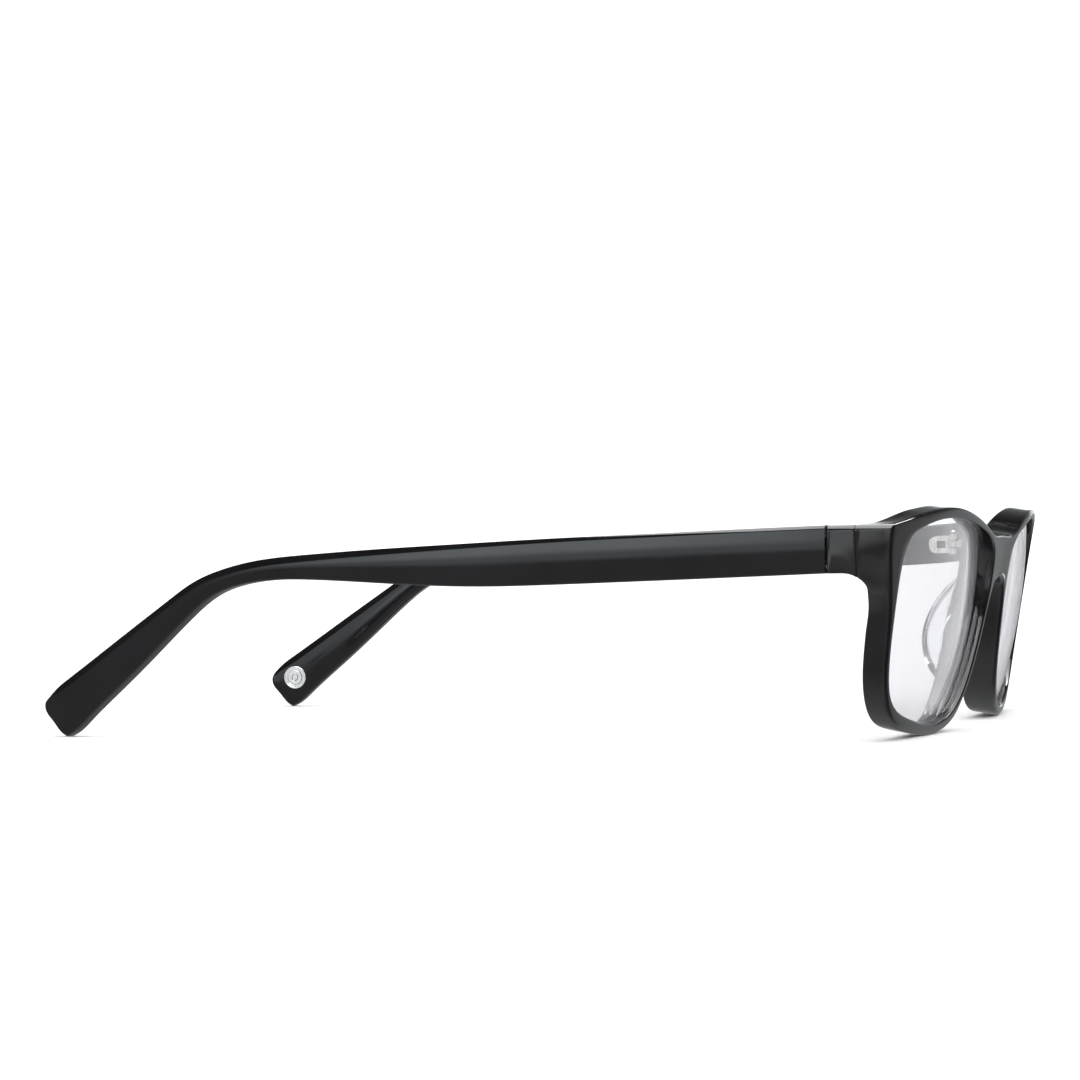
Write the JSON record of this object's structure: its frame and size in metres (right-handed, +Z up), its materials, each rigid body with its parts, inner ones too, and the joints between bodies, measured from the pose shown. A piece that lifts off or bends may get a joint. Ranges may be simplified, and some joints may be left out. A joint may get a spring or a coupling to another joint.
{
  "type": "eyeglasses frame",
  "caption": "Full-rim rectangular acetate eyeglasses frame with clear lenses, clear nose pads and temples that fold on barrel hinges.",
  "frame": {"origin": "middle of the bounding box, on the surface that the open frame stands on", "axes": "+Z up; -Y the way the wearer looks, so the temples run back along +Y; +X the wearer's left"},
  "size_m": [0.132, 0.1526, 0.037],
  "materials": {
    "black_acetate": "polished glossy black acetate",
    "lens_resin": "clear polished demo lens",
    "clear_acetate": "clear polished acetate",
    "hinge_metal": "satin nickel silver",
    "screw_steel": "bright turned steel",
    "core_steel": "drawn steel wire",
    "inlay_metal": "satin silver disc"
  },
  "bodies": {
    "front": {"front_frame": "black_acetate", "endpiece_right": "black_acetate", "endpiece_left": "black_acetate", "lens_right": "lens_resin", "lens_left": "lens_resin", "nose_pad_right": "clear_acetate", "nose_pad_left": "clear_acetate", "front_hinge_leaf_right": "hinge_metal", "front_hinge_leaf_left": "hinge_metal", "hinge_screw_right": "screw_steel", "hinge_screw_left": "screw_steel"},
    "temple_right": {"temple_right": "black_acetate", "temple_hinge_leaf_right": "hinge_metal", "temple_core_wire_right": "core_steel", "inlay_disc_right": "inlay_metal"},
    "temple_left": {"temple_left": "black_acetate", "temple_hinge_leaf_left": "hinge_metal", "temple_core_wire_left": "core_steel", "inlay_disc_left": "inlay_metal"}
  },
  "joints": [
    {"name": "fold_right", "type": "hinge", "parent": "front", "child": "temple_right", "pos_m": [-0.0603, -0.05977, 0.0298], "axis": [0, 0, -1], "range_deg": [0, 68]},
    {"name": "fold_left", "type": "hinge", "parent": "front", "child": "temple_left", "pos_m": [0.0603, -0.05977, 0.0298], "axis": [0, 0, 1], "range_deg": [0, 84.75]}
  ]
}
